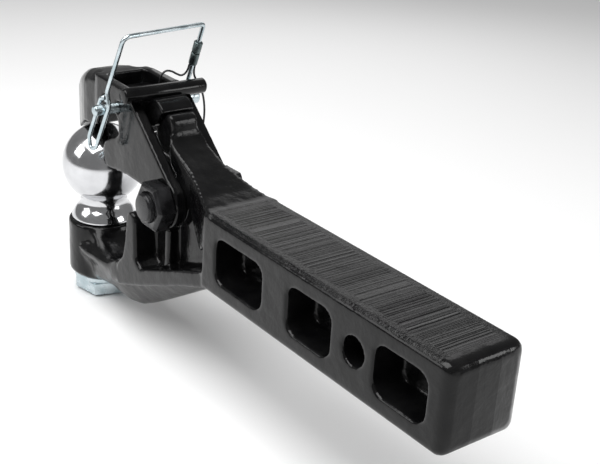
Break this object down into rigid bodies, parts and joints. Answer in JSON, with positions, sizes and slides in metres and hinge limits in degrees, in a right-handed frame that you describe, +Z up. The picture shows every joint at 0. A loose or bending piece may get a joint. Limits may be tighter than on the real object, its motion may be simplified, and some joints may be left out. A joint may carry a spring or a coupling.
{
  "type": "trailer hitch with ball",
  "caption": "Square-shank receiver hitch with a tow ball under a hinged, latching upper jaw, a T-handle, and a safety pin with wire bail and tether.",
  "frame": {"origin": "centre of the square shank's free end face", "axes": "+X out of the shank's free end, +Z up in use, +Y to the side away from the pivot nut; the ball is at -X"},
  "size_m": [0.4138, 0.0774, 0.2163],
  "materials": {
    "forging": "gloss black powder coat over a forged surface",
    "ball_chrome": "polished chrome plate",
    "zinc": "bright zinc plate, slightly blue",
    "black_steel": "satin black steel",
    "sleeve": "dark crimped sleeve",
    "cable": "black coated steel cable"
  },
  "bodies": {
    "hook": {"hook_body": "forging", "hitch_ball": "ball_chrome", "ball_lock_washer": "zinc", "ball_nut": "zinc", "pivot_bolt": "black_steel", "pivot_nut": "black_steel"},
    "jaw": {"upper_jaw": "forging", "latch_pin": "black_steel"},
    "latch": {"latch": "forging", "latch_handle": "black_steel"},
    "pin": {"safety_pin": "zinc"},
    "bail": {"bail": "zinc", "upper_sleeve": "sleeve", "lower_sleeve": "sleeve", "lanyard": "cable"}
  },
  "joints": [
    {"name": "jaw_open", "type": "hinge", "parent": "hook", "child": "jaw", "pos_m": [-0.26, 0, 0.0116], "axis": [0, 1, 0], "range_deg": [0, 55]},
    {"name": "latch_lift", "type": "hinge", "parent": "jaw", "child": "latch", "pos_m": [-0.3395, 0, 0.058], "axis": [0, -1, 0], "range_deg": [0, 27.5]},
    {"name": "safety_pin_slide", "type": "slide", "parent": "jaw", "child": "pin", "axis": [0, 1, 0], "range_m": [0, 0.062], "deforming": ["lanyard"]},
    {"name": "bail_swing", "type": "hinge", "parent": "pin", "child": "bail", "pos_m": [-0.3205, 0.0334, 0.0573], "axis": [-0.8695, 0, 0.4939], "range_deg": [0, 205]}
  ],
  "couplings": [
    {"joint": "latch_lift", "follows": "jaw_open", "ratio": 0.5},
    {"joint": "bail_swing", "follows": "safety_pin_slide", "rad_per_m": 57.7}
  ]
}
